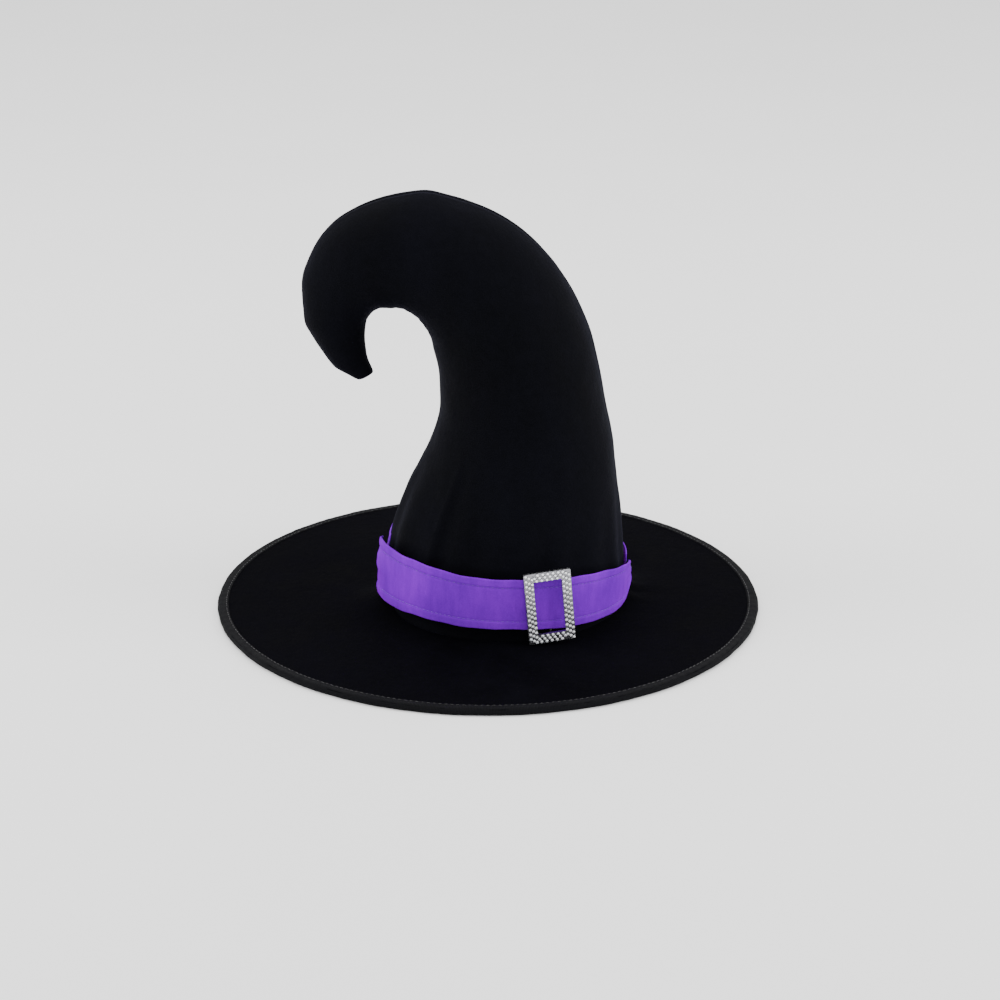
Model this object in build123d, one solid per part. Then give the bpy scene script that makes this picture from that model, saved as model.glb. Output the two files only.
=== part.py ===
from build123d import *
import math
import os

# A witch hat of black velvet, in millimetres.
# The origin is the centre of the brim's circle, on the surface that the hat stands on.
# +Z is up, -Y is the side with the buckle, and the crown curls over towards -X.

os.makedirs("parts", exist_ok=True)

# Brim
BRIM_RADIUS = 220.0
BRIM_HOLE_RADIUS = 90.6
COVER_THICKNESS = 1.2
STIFFENER_THICKNESS = 1.5
BINDING_THICKNESS = 0.7
BINDING_WIDTH = 9.0
WIRE_DIAMETER = 1.2
SLEEVE_WALL = 0.2
SLEEVE_LENGTH = 18.0
SLEEVE_RADIUS = WIRE_DIAMETER / 2 + SLEEVE_WALL
LAYER_GAP = 0.1
COVER_RADIUS = BRIM_RADIUS - BINDING_THICKNESS - LAYER_GAP

# Crown: where its centre line starts, then for each run of it the length, the turn towards -X
# in degrees, and the crown's radius at the run's end
CROWN_X = 13.0
FOOT_Z = 5.0
FOOT_RADIUS = 97.0
CROWN_RUNS = (
    (53.7, -8.4, 93.0),
    (29.0, -1.1, 86.7),
    (30.9, 2.6, 77.4),
    (47.1, 10.1, 66.1),
    (37.4, 7.9, 62.3),
    (42.3, 14.5, 58.5),
    (50.9, 30.3, 51.4),
    (36.0, 28.3, 46.4),
    (45.7, 44.4, 39.3),
    (48.6, 57.7, 22.9),
    (46.4, 33.4, 10.1),
)
CROWN_LENGTH = sum(length for length, turn, radius in CROWN_RUNS)
STATIONS = 36
STATION_STEP = CROWN_LENGTH / STATIONS
VELVET_THICKNESS = 1.2
VELVET_GAP = 0.4
FOAM_THICKNESS = 2.0

# Head space
SWEATBAND_RADIUS = 89.2
SWEATBAND_THICKNESS = 1.0
SWEATBAND_HEIGHT = 30.0
LINER_THICKNESS = 0.8
LINER_CENTRE_Z = 22.0
LINER_RADIUS = 89.6
FILLING_START_Z = 50.0

# Neck, where the curl nods, as a station: the filling has a gap of one step to each side of it
NECK_STATION = 22

# Band
BAND_RADIUS = 103.5
BAND_HEIGHT = 40.0
BAND_THICKNESS = 1.0
BAND_CENTRE_Z = 38.5
BAND_TILT = 2.8
BAND_FRONT_REACH = 72.0
BAND_PINCH_REACH = 89.0
BAND_PINCH_HEIGHT = 24.0
REAR_RADIUS = 101.0
REAR_HEIGHT = 32.0
REAR_CENTRE_Z = 37.0
REAR_TILT = 5.5
REAR_REACH = 88.0
HEM_DEPTH = 6.5
STITCH_LENGTH = 3.2
STITCH_THICKNESS = 0.5

# Buckle, turned from the front about the band's axis
BUCKLE_ANGLE = 19.0
BUCKLE_WIDTH = 37.0
BUCKLE_HEIGHT = 59.5
BUCKLE_BAR = 7.4
BUCKLE_THICKNESS = 2.4
BUCKLE_BACK = 106.0
BUCKLE_RISE = 1.0  # of its centre over the band's
BUCKLE_TWIST = 8.0  # its top leans to the left
BUCKLE_YAW = -9.0  # it faces a little less to the right than the band there
CENTRE_BAR_RADIUS = 100.9
CENTRE_BAR_DIAMETER = 2.0
STONE_RADIUS = 1.15
STONE_HEIGHT = 1.3
STONE_PITCH = 3.95
STONE_COLUMNS = 3
STONE_COLUMN_STEP = 2.3

FRONT = -90.0
UPRIGHT_AXIS = Location((CROWN_X, 0, 0))
BAND_AXIS = Location((CROWN_X, 0, BAND_CENTRE_Z), (0, BAND_TILT, 0))
REAR_AXIS = Location((CROWN_X, 0, REAR_CENTRE_Z), (0, REAR_TILT, 0))


def save(shape, node):
    export_step(shape, f"parts/{node}.step")


def group(shapes):
    return Compound(children=list(shapes))


def ring_of(inner, outer, bottom, top):
    """A straight-walled ring about the head opening's axis."""
    height = top - bottom
    ring = Cylinder(outer, height, align=(Align.CENTER, Align.CENTER, Align.MIN))
    ring -= Cylinder(inner, height, align=(Align.CENTER, Align.CENTER, Align.MIN))
    return UPRIGHT_AXIS * Pos(0, 0, bottom) * ring


# Crown


def crown_section(distance):
    """The plane across the crown and its radius, at a distance along its centre line."""
    x, z, lean, radius = CROWN_X, FOOT_Z, 0.0, FOOT_RADIUS
    for length, turn, end_radius in CROWN_RUNS:
        step = min(distance, length)
        curvature = math.radians(turn) / length
        end_lean = lean + curvature * step
        x += (math.cos(end_lean) - math.cos(lean)) / curvature
        z += (math.sin(end_lean) - math.sin(lean)) / curvature
        radius += (end_radius - radius) * step / length
        lean = end_lean
        distance -= step
        if distance <= 0:
            break
    along = (-math.sin(lean), 0, math.cos(lean))
    return Plane(origin=(x, 0, z), x_dir=(0, 1, 0), z_dir=along), radius


def crown_body(inset, first=0, last=STATIONS, end_gap=0.0):
    """The solid that fills the crown between two stations, all round smaller than it by an inset."""
    distances = [STATION_STEP * i for i in range(first, last + 1)]
    distances[-1] -= end_gap
    sections = []
    for distance in distances:
        plane, radius = crown_section(distance)
        sections.append(plane * Circle(radius - inset))
    return loft(sections)


def half_space(side):
    """A block that holds all of one side of the crown's upright middle plane."""
    reach = 800.0
    return Pos(0, side * reach / 2, 0) * Box(reach, reach, reach)


def crown_panels():
    velvet = crown_body(0)
    velvet -= crown_body(VELVET_THICKNESS, end_gap=VELVET_THICKNESS)
    return velvet & half_space(-1), velvet & half_space(1)


def crown_foams():
    outer_inset = VELVET_THICKNESS + VELVET_GAP
    last = NECK_STATION - 1
    foam = crown_body(outer_inset, last=last) - crown_body(outer_inset + FOAM_THICKNESS, last=last)
    return foam & half_space(-1), foam & half_space(1)


def liner_dome(offset):
    """The solid under the head liner's inner face, with an offset outwards."""
    ball = Pos(0, 0, LINER_CENTRE_Z) * Sphere(LINER_RADIUS + offset)
    reach = 3 * LINER_RADIUS
    above = Box(reach, reach, reach, align=(Align.CENTER, Align.CENTER, Align.MIN))
    return UPRIGHT_AXIS * (ball & Pos(0, 0, SWEATBAND_HEIGHT) * above)


def head_liner():
    return liner_dome(LINER_THICKNESS) - liner_dome(0)


def lower_filling():
    inset = VELVET_THICKNESS + VELVET_GAP + FOAM_THICKNESS + LAYER_GAP
    filling = crown_body(inset, last=NECK_STATION - 1)
    filling -= liner_dome(LINER_THICKNESS + LAYER_GAP)
    clear = Box(400, 400, FILLING_START_Z, align=(Align.CENTER, Align.CENTER, Align.MIN))
    return filling - clear


def neck_filling():
    inset = VELVET_THICKNESS + VELVET_GAP
    return crown_body(inset, NECK_STATION - 1, NECK_STATION + 1, VELVET_GAP)


def curl_filling():
    inset = VELVET_THICKNESS + VELVET_GAP
    return crown_body(inset, first=NECK_STATION + 1, end_gap=inset)


def sweatband():
    inner = SWEATBAND_RADIUS
    return ring_of(inner, inner + SWEATBAND_THICKNESS, BINDING_THICKNESS + LAYER_GAP, SWEATBAND_HEIGHT)


def sweatband_stitches():
    """Stitches that hold the sweatband's top edge, on its inner face."""
    count = 60
    thickness = STITCH_THICKNESS / 2
    stitch = Box(thickness, 2 * STITCH_LENGTH, STITCH_THICKNESS)
    radius = SWEATBAND_RADIUS - 0.9 * thickness
    place = Pos(radius, 0, SWEATBAND_HEIGHT - HEM_DEPTH)
    return group(
        UPRIGHT_AXIS * Rot(0, 0, 360 * i / count) * place * stitch for i in range(count)
    )


# Brim


def brim_layer(bottom, thickness, radius):
    height = bottom + thickness
    disc = Pos(0, 0, bottom) * Cylinder(radius, thickness, align=(Align.CENTER, Align.CENTER, Align.MIN))
    hole = Cylinder(BRIM_HOLE_RADIUS, height, align=(Align.CENTER, Align.CENTER, Align.MIN))
    return disc - UPRIGHT_AXIS * hole


def brim_layers():
    """The under cover, the stiffener and the top cover, from the bottom up."""
    wire_room = 2 * (SLEEVE_RADIUS + LAYER_GAP)
    bottom = BINDING_THICKNESS + LAYER_GAP
    under = brim_layer(bottom, COVER_THICKNESS, COVER_RADIUS)
    bottom += COVER_THICKNESS + LAYER_GAP
    stiffener = brim_layer(bottom, STIFFENER_THICKNESS, COVER_RADIUS - wire_room)
    bottom += STIFFENER_THICKNESS + LAYER_GAP
    top = brim_layer(bottom, COVER_THICKNESS, COVER_RADIUS)
    return under, stiffener, top


def brim_binding():
    """Tape folded round the brim's edge: a C-shaped section turned about the brim's centre."""
    height = FOOT_Z + BINDING_THICKNESS
    inner_edge = BRIM_RADIUS - BINDING_WIDTH
    tape = Pos(inner_edge, 0) * Rectangle(BINDING_WIDTH, height, align=Align.MIN)
    pocket = Pos(inner_edge, BINDING_THICKNESS) * Rectangle(
        BINDING_WIDTH - BINDING_THICKNESS, height - 2 * BINDING_THICKNESS, align=Align.MIN
    )
    return revolve(Plane.XZ * (tape - pocket), Axis.Z)


def binding_stitches():
    """One row of stitches on the binding's upper face, near its inner edge."""
    count = 150
    stitch = Box(STITCH_THICKNESS, 2 * STITCH_LENGTH, STITCH_THICKNESS / 2)
    top = FOOT_Z + BINDING_THICKNESS + STITCH_THICKNESS / 4
    place = Pos(BRIM_RADIUS - BINDING_WIDTH + 1.5, 0, top)
    return group(Rot(0, 0, 360 * i / count) * place * stitch for i in range(count))


def wire_middle():
    """The radius and height of the hoop wire's centre line, between the two covers."""
    low = BINDING_THICKNESS + 2 * LAYER_GAP + COVER_THICKNESS
    return COVER_RADIUS - LAYER_GAP - SLEEVE_RADIUS, low + STIFFENER_THICKNESS / 2


def brim_wire():
    """A hoop of wire that is open at the rear, where its ends meet in the sleeve."""
    section = Plane.XZ * Pos(*wire_middle()) * Circle(WIRE_DIAMETER / 2)
    return Rot(0, 0, 90) * revolve(section, Axis.Z, 359.5)


def brim_wire_sleeve():
    """A crimped tube over the wire's two ends."""
    turn = math.degrees(SLEEVE_LENGTH / BRIM_RADIUS)
    bore = WIRE_DIAMETER / 2 + LAYER_GAP / 2
    section = Pos(*wire_middle()) * (Circle(SLEEVE_RADIUS) - Circle(bore))
    return Rot(0, 0, 90 - turn / 2) * revolve(Plane.XZ * section, Axis.Z, turn)


# Band


def band_profile(radius, height):
    """The band's section in the XZ plane, with its outer face at a radius."""
    place = Pos(radius - BAND_THICKNESS / 2, 0)
    return Plane.XZ * (place * Rectangle(BAND_THICKNESS, height))


def strip(radius, height, middle, reach):
    """A strip round the band's axis, to both sides of an angle."""
    turned = revolve(band_profile(radius, height), Axis.Z, 2 * reach)
    return Rot(0, 0, middle - reach) * turned


def band_pinch(side):
    """One gathered end of the front strip, from its full height in to the tack on the crown."""
    wide = Rot(0, 0, FRONT + side * BAND_FRONT_REACH) * band_profile(BAND_RADIUS, BAND_HEIGHT)
    narrow_radius = REAR_RADIUS + BAND_THICKNESS + LAYER_GAP
    narrow = Rot(0, 0, FRONT + side * BAND_PINCH_REACH) * band_profile(
        narrow_radius, BAND_PINCH_HEIGHT
    )
    return loft([wide, narrow], ruled=True)


def hat_band_front():
    front = strip(BAND_RADIUS, BAND_HEIGHT, FRONT, BAND_FRONT_REACH)
    return BAND_AXIS * (front + band_pinch(-1) + band_pinch(1))


def hat_band_rear():
    return REAR_AXIS * strip(REAR_RADIUS, REAR_HEIGHT, -FRONT, REAR_REACH)


def hat_band_stitches():
    """The stitches of the front strip's upper hem, clear of the pinched ends."""
    pitch = 2 * STITCH_LENGTH
    reach = BAND_FRONT_REACH - 4
    count = int(math.radians(2 * reach) * BAND_RADIUS / pitch)
    thickness = STITCH_THICKNESS / 2
    stitch = Box(thickness, STITCH_LENGTH, thickness)
    place = Pos(BAND_RADIUS + thickness / 2, 0, BAND_HEIGHT / 2 - HEM_DEPTH)
    turns = [FRONT - reach + 2 * reach * i / (count - 1) for i in range(count)]
    return group(BAND_AXIS * Rot(0, 0, turn) * place * stitch for turn in turns)


def band_side_tacks():
    """A bar of thread at each side, where the front strip's pinched end is sewn down."""
    radius = REAR_RADIUS + BAND_THICKNESS + LAYER_GAP
    tack = Box(1.2, 2.0, BAND_PINCH_HEIGHT - 6)
    place = Pos(radius + 0.6, 0, 0)
    reach = BAND_PINCH_REACH - 1.5
    return group(
        BAND_AXIS * Rot(0, 0, FRONT + side * reach) * place * tack for side in (-1, 1)
    )


# Buckle


def buckle_place():
    """The buckle's own frame, from the middle of its back: X outwards, Y across it, Z up it."""
    on_band = BAND_AXIS * Rot(0, 0, FRONT + BUCKLE_ANGLE) * Pos(BUCKLE_BACK, 0, BUCKLE_RISE)
    return on_band * Rot(0, 0, BUCKLE_YAW) * Rot(BUCKLE_TWIST, 0, 0)


def buckle_frame():
    outer = RectangleRounded(BUCKLE_WIDTH, BUCKLE_HEIGHT, 1.5)
    inner = Rectangle(BUCKLE_WIDTH - 2 * BUCKLE_BAR, BUCKLE_HEIGHT - 2 * BUCKLE_BAR)
    frame = extrude(Plane.YZ * (outer - inner), BUCKLE_THICKNESS)
    return buckle_place() * frame


def buckle_centre_bar():
    """The bar behind the band, whose two bent ends reach forward to the frame."""
    radius = CENTRE_BAR_DIAMETER / 2
    half = (BUCKLE_HEIGHT - BUCKLE_BAR) / 2
    length = BUCKLE_BACK - CENTRE_BAR_RADIUS
    bar = Pos(-length, 0, 0) * Cylinder(radius, 2 * half + 2 * radius)
    for side in (-1, 1):
        bar += Pos(-length / 2, 0, side * half) * Rot(0, 90, 0) * Cylinder(radius, length)
    return buckle_place() * bar


def stone_places():
    """The stones' places on the frame, as (Y, Z): staggered columns along every bar."""
    rows = int((BUCKLE_HEIGHT - STONE_PITCH) / STONE_PITCH) + 1
    side_middle = (BUCKLE_WIDTH - BUCKLE_BAR) / 2
    end_middle = (BUCKLE_HEIGHT - BUCKLE_BAR) / 2
    inner_half = BUCKLE_WIDTH / 2 - BUCKLE_BAR
    places = []
    for column in range(STONE_COLUMNS):
        across = (column - (STONE_COLUMNS - 1) / 2) * STONE_COLUMN_STEP
        stagger = (column % 2 - 0.5) * STONE_PITCH / 2
        for row in range(rows):
            along = (row - (rows - 1) / 2) * STONE_PITCH + stagger
            places += [(side * side_middle + across, along) for side in (-1, 1)]
        short_rows = int(2 * inner_half / STONE_PITCH)
        for row in range(short_rows):
            along = (row - (short_rows - 1) / 2) * STONE_PITCH + stagger
            places += [(along, side * end_middle + across) for side in (-1, 1)]
    return places


def buckle_stones():
    """Clear stones: eight-sided, with a wide girdle and a small flat table."""
    girdle = RegularPolygon(STONE_RADIUS, 8)
    table = Pos(0, 0, STONE_HEIGHT) * RegularPolygon(STONE_RADIUS * 0.55, 8)
    stone = Rot(0, 90, 0) * loft([girdle, table], ruled=True)
    on_frame = buckle_place() * Pos(BUCKLE_THICKNESS, 0, 0)
    return group(on_frame * Pos(0, y, z) * stone for y, z in stone_places())


def main():
    front_panel, rear_panel = crown_panels()
    save(front_panel, "crown_front_panel")
    save(rear_panel, "crown_rear_panel")
    front_foam, rear_foam = crown_foams()
    save(front_foam, "crown_front_foam")
    save(rear_foam, "crown_rear_foam")
    save(head_liner(), "head_liner")
    save(lower_filling(), "lower_filling")
    save(neck_filling(), "neck_filling")
    save(curl_filling(), "curl_filling")
    save(sweatband(), "sweatband")
    save(sweatband_stitches(), "sweatband_stitches")

    under, stiffener, top = brim_layers()
    save(under, "brim_under_cover")
    save(stiffener, "brim_stiffener")
    save(top, "brim_top_cover")
    save(brim_binding(), "brim_binding")
    save(binding_stitches(), "binding_stitches")
    save(brim_wire(), "brim_wire")
    save(brim_wire_sleeve(), "brim_wire_sleeve")

    save(hat_band_front(), "hat_band_front")
    save(hat_band_rear(), "hat_band_rear")
    save(hat_band_stitches(), "hat_band_stitches")
    save(band_side_tacks(), "band_side_tacks")

    save(buckle_frame(), "buckle_frame")
    save(buckle_centre_bar(), "buckle_centre_bar")
    save(buckle_stones(), "buckle_stones")


main()
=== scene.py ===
import math

import bpy
import numpy as np
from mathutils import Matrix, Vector, noise


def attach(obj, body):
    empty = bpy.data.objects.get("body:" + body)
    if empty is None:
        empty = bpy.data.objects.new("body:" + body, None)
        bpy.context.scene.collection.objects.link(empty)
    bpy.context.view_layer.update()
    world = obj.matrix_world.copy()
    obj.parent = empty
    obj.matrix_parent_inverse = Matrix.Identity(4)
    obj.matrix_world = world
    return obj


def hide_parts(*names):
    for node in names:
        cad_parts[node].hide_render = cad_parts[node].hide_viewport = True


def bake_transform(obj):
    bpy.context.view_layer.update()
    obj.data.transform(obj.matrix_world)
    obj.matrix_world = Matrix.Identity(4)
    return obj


# The looks of a black velvet witch hat, in metres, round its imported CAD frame.
# +Z is up, -Y is the side with the buckle, and the crown curls over towards -X.

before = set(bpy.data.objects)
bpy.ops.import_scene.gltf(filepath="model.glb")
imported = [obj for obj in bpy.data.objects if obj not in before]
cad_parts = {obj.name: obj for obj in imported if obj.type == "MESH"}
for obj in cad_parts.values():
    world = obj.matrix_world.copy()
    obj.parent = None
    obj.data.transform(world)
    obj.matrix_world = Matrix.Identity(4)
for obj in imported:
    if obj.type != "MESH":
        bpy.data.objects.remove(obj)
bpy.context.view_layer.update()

MM = 0.001
HAT, CURL, BUCKLE = "hat", "curl", "buckle"

# Camera: how far it is from the brim's centre, how high it looks from, and its lens
CAMERA_DISTANCE = 2.1
CAMERA_ELEVATION = math.radians(23.2)
CAMERA_LENS = 92.5
CAMERA_SHIFT = (0.012, 0.0997)

# Crown, as in the CAD model: the foot of its centre line, then each run's length, turn towards
# -X in degrees, and radius at its end, in millimetres
CROWN_X = 13.0
FOOT_Z = 5.0
FOOT_RADIUS = 97.0
CROWN_RUNS = (
    (53.7, -8.4, 93.0),
    (29.0, -1.1, 86.7),
    (30.9, 2.6, 77.4),
    (47.1, 10.1, 66.1),
    (37.4, 7.9, 62.3),
    (42.3, 14.5, 58.5),
    (50.9, 30.3, 51.4),
    (36.0, 28.3, 46.4),
    (45.7, 44.4, 39.3),
    (48.6, 57.7, 22.9),
    (46.4, 33.4, 10.1),
)
CROWN_LENGTH = sum(run[0] for run in CROWN_RUNS)
VELVET = 1.2
FOAM_INSET = 4.2
FOAM_THICKNESS = 1.6
FILLING_INSET = 6.5
FILLING_START = 118.0
NECK_STATION = 22 / 36 * CROWN_LENGTH

# Head opening: the sweatband's inner face, and the lining cap's dome over it. The foam and the
# lining keep these distances, from the foot's axis and from the crown's surface
SWEATBAND_RADIUS = 89.2
SWEATBAND_TOP = 30.0
LINING_RADIUS = 89.6
LINING_THICKNESS = 0.7
LINING_CENTRE_Z = 22.0
LINING_INSET = 7.2
FOAM_FOOT_RADIUS = 93.2

# Brim: the velvets' outer edge lies inside the folded tape
BRIM_RADIUS = 220.0
BRIM_VELVET_RADIUS = 218.6
BRIM_TOP_Z = 4.9
BRIM_UNDER_Z = 0.85
BINDING_WIDTH = 9.0
BINDING_TOP = 5.7
BINDING_FOLD = 2.85

# Band
BAND_RADIUS = 103.5
BAND_HEIGHT = 40.0
BAND_THICKNESS = 0.8
BAND_CENTRE_Z = 38.5
BAND_TILT = math.radians(2.8)
BAND_REACH = 89.0
PINCH_START = 62.0
# The buckle's bar slides behind the front strip and its frame in front, so the strip is set back
# and swells little, to keep to the gap between them
BAND_SET_BACK = 0.5
BAND_SWELL = 0.25
# The front strip as sewn on: degrees from the front, then the heights of its lower and upper edge
BAND_EDGES = (
    (-89, 14.0, 57.0),
    (-80, 14.0, 62.0),
    (-65, 17.0, 65.5),
    (-45, 19.3, 65.2),
    (-25, 19.5, 62.7),
    (0, 18.8, 60.3),
    (20, 16.8, 58.9),
    (35, 14.4, 56.5),
    (50, 12.5, 53.2),
    (66, 11.8, 48.0),
    (72, 13.5, 45.2),
    (78, 19.0, 42.3),
    (89, 24.0, 36.0),
)
REAR_RADIUS = 101.0
REAR_HEIGHT = 32.0
REAR_CENTRE_Z = 37.0
REAR_TILT = math.radians(5.5)
REAR_REACH = 95.0
REAR_STAND_OFF = 3.3
HEM_DEPTH = 6.5
HEM_FOLD = 0.35

# Buckle
BUCKLE_ANGLE = math.radians(19.0)
BUCKLE_WIDTH = 36.4
BUCKLE_HEIGHT = 58.9
BUCKLE_BAR = 7.2
BUCKLE_BACK = 106.0
BUCKLE_THICKNESS = 2.4
BUCKLE_RISE = 1.0
BUCKLE_TWIST = math.radians(8.0)
BUCKLE_YAW = math.radians(-9.0)
STONE_RADIUS = 1.18
STONE_PITCH = 4.1
STONE_SLANT = 1.5
STONE_COLUMNS = 3
STONE_COLUMN_STEP = 2.3

# Studio, in metres and watts
FLOOR_HALF = 20.0
WORLD_STRENGTH = 1.45
LIGHTS_AIM = Vector((0, 0, 0.15))
SOFTBOXES = (
    ("left", (-2.2, -0.3, 1.3), (1.4, 1.4), 42),
    ("right", (2.2, -0.4, 1.2), (1.2, 1.6), 48),
    ("top", (-0.2, 0.9, 2.6), (1.6, 1.2), 26),
)


# ---------------------------------------------------------------- meshes


def smooth_step(value, low, high):
    """0 below low, 1 above high, and an even S curve between them."""
    t = np.clip((value - low) / (high - low), 0, 1)
    return t * t * (3 - 2 * t)


def ripple(points, size, seed=0.0):
    """Smooth noise from -1 to 1 at each point; size is the ripples' width in millimetres."""
    flat = np.asarray(points, float).reshape(-1, 3) / size
    values = [noise.noise(Vector((x + seed, y - seed, z + 2 * seed))) for x, y, z in flat]
    return np.array(values).reshape(np.asarray(points).shape[:-1])


def new_piece(name, points, faces, smooth=True):
    """A mesh object from points in millimetres."""
    mesh = bpy.data.meshes.new(name)
    mesh.from_pydata((np.asarray(points, float) * MM).tolist(), [], faces)
    mesh.validate()
    mesh.update()
    mesh.polygons.foreach_set("use_smooth", [smooth] * len(mesh.polygons))
    piece = bpy.data.objects.new(name, mesh)
    bpy.context.collection.objects.link(piece)
    return piece


def grid_faces(rows, columns, close_rows=False, close_columns=False):
    """Four-sided faces between a grid's points, joined up round the rows or the columns if asked."""
    faces = []
    for i in range(rows if close_rows else rows - 1):
        for j in range(columns if close_columns else columns - 1):
            a, b = i * columns, ((i + 1) % rows) * columns
            k = (j + 1) % columns
            faces.append((a + j, a + k, b + k, b + j))
    return faces


def grid_piece(name, grid, close_rows=False, close_columns=False, uv=None, caps=()):
    """A piece from a grid of points, with the rows in caps closed off; uv is in millimetres of cloth."""
    rows, columns = grid.shape[:2]
    faces = grid_faces(rows, columns, close_rows, close_columns)
    for row in caps:
        ring = [row % rows * columns + j for j in range(columns)]
        faces.append(tuple(ring if row else reversed(ring)))
    piece = new_piece(name, grid.reshape(-1, 3), faces)
    if uv is not None:
        layer = piece.data.uv_layers.new(name="cloth")
        flat = np.asarray(uv, float).reshape(-1, 2) * MM
        index = np.zeros(len(piece.data.loops), int)
        piece.data.loops.foreach_get("vertex_index", index)
        layer.data.foreach_set("uv", flat[index].ravel())
    return piece


def apply_modifiers(piece):
    """Turns the piece's modifiers into its mesh."""
    graph = bpy.context.evaluated_depsgraph_get()
    mesh = bpy.data.meshes.new_from_object(piece.evaluated_get(graph))
    piece.modifiers.clear()
    piece.data = mesh


def thicken(piece, thickness):
    """Gives a single sheet its thickness, inwards."""
    solid = piece.modifiers.new("thickness", "SOLIDIFY")
    solid.thickness = thickness * MM
    solid.offset = -1
    apply_modifiers(piece)


def many(name, template, faces, places, smooth=False):
    """Copies of a small template at several 4x4 places, as one piece."""
    points, all_faces = [], []
    for place in places:
        start = len(points) * len(template)
        points.append(template @ place[:3, :3].T + place[:3, 3])
        all_faces += [tuple(start + i for i in face) for face in faces]
    return new_piece(name, np.concatenate(points), all_faces, smooth)


def stitch_ring(name, length, thickness, count, place):
    """A ring of stitches; place(turn) gives each one's origin and the direction it faces."""
    template, faces = thread_template(length, thickness)
    places = []
    for i in range(count):
        turn = 2 * math.pi * i / count
        origin, out = place(turn)
        places.append(place_at(origin, out, (-math.sin(turn), math.cos(turn), 0)))
    return many(name, template, faces, places, True)


def place_at(origin, out, along):
    """A frame with X outwards, Y along, and Z across both."""
    out = np.array(out, float) / np.linalg.norm(out)
    along = np.array(along, float)
    along -= out * (along @ out)
    along /= np.linalg.norm(along)
    place = np.eye(4)
    place[:3, 0], place[:3, 1], place[:3, 2] = out, along, np.cross(out, along)
    place[:3, 3] = origin
    return place


def thread_template(length, thickness):
    """One stitch, lying along Y on the face that X points out of, sunk at both ends."""
    rings, sides = 7, 6
    points = []
    for i in range(rings):
        t = 2 * i / (rings - 1) - 1
        girth = thickness / 2 * math.sqrt(max(0.12, 1 - t * t))
        rise = thickness * (0.5 - 0.6 * t * t)
        for j in range(sides):
            turn = 2 * math.pi * j / sides
            points.append(
                (rise + girth * math.cos(turn), t * length / 2, girth * math.sin(turn))
            )
    faces = grid_faces(rings, sides, close_columns=True)
    faces += [tuple(range(sides)), tuple(reversed(range((rings - 1) * sides, rings * sides)))]
    return np.array(points), faces


# ---------------------------------------------------------------- materials


class Nodes:
    """A material's node tree, built a node at a time."""

    def __init__(self, name):
        self.material = bpy.data.materials.new(name)
        self.material.use_nodes = True
        self.tree = self.material.node_tree
        self.shader = self.tree.nodes["Principled BSDF"]

    def add(self, kind, **values):
        node = self.tree.nodes.new(kind)
        for key, value in values.items():
            if key in node.inputs:
                node.inputs[key].default_value = value
            else:
                setattr(node, key, value)
        return node

    def link(self, source, target):
        self.tree.links.new(source, target)

    def set(self, **values):
        for key, value in values.items():
            self.shader.inputs[key.replace("_", " ")].default_value = value

    def place(self, cloth=False):
        node = self.add("ShaderNodeTexCoord")
        return node.outputs["UV" if cloth else "Object"]

    def noise(self, source, scale, detail=3.0, roughness=0.5, stretch=None):
        if stretch:
            mapping = self.add("ShaderNodeMapping")
            mapping.inputs["Scale"].default_value = stretch
            self.link(source, mapping.inputs["Vector"])
            source = mapping.outputs["Vector"]
        node = self.add("ShaderNodeTexNoise", Scale=scale, Detail=detail, Roughness=roughness)
        self.link(source, node.inputs["Vector"])
        return node.outputs["Fac"]

    def ramp(self, source, stops):
        node = self.add("ShaderNodeValToRGB")
        while len(node.color_ramp.elements) < len(stops):
            node.color_ramp.elements.new(0.5)
        for element, (position, colour) in zip(node.color_ramp.elements, stops):
            element.position = position
            element.color = (*colour, 1)
        self.link(source, node.inputs["Fac"])
        return node.outputs["Color"]

    def math(self, operation, a, b):
        node = self.add("ShaderNodeMath", operation=operation)
        for socket, value in zip(node.inputs, (a, b)):
            if isinstance(value, (int, float)):
                socket.default_value = value
            else:
                self.link(value, socket)
        return node.outputs["Value"]

    def ribs(self, source, direction, per_metre):
        node = self.add(
            "ShaderNodeTexWave",
            wave_type="BANDS",
            bands_direction=direction,
            Scale=per_metre / 20 * 2 * math.pi,
            Distortion=0.6,
            Detail=1.0,
        )
        self.link(source, node.inputs["Vector"])
        return node.outputs["Fac"]

    def bump(self, height, distance, strength=1.0, before=None):
        node = self.add("ShaderNodeBump", Strength=strength, Distance=distance)
        self.link(height, node.inputs["Height"])
        if before is not None:
            self.link(before, node.inputs["Normal"])
        return node.outputs["Normal"]


def shade(value):
    """A grey."""
    return (value, value, value)


def velvet(name, deep, lit, sheen, sheen_tint, specular, patches=14.0):
    """Short-pile cloth: brushed patches of lighter and darker nap, a fine pile, and sheen at the edges."""
    m = Nodes(name)
    place = m.place()
    brushed = m.noise(place, patches, 4.0, 0.6, stretch=(1.0, 1.0, 0.45))
    pile = m.noise(place, 780.0, 2.0, 0.7)
    flecks = m.noise(place, 156.0, 3.0, 0.65)
    mixed = m.math("ADD", m.math("MULTIPLY", brushed, 0.62), m.math("MULTIPLY", pile, 0.2))
    mixed = m.math("ADD", mixed, m.math("MULTIPLY", flecks, 0.18))
    m.link(m.ramp(mixed, ((0.36, deep), (0.66, lit))), m.shader.inputs["Base Color"])
    roughness = m.ramp(brushed, ((0.3, shade(0.82)), (0.7, shade(1.0))))
    m.link(roughness, m.shader.inputs["Roughness"])
    normal = m.bump(flecks, 0.0012, 0.35)
    normal = m.bump(pile, 0.0004, 0.5, normal)
    m.link(normal, m.shader.inputs["Normal"])
    m.set(Specular_IOR_Level=specular, Sheen_Weight=sheen, Sheen_Roughness=0.32)
    m.set(Sheen_Tint=(*sheen_tint, 1))
    return m.material


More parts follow.
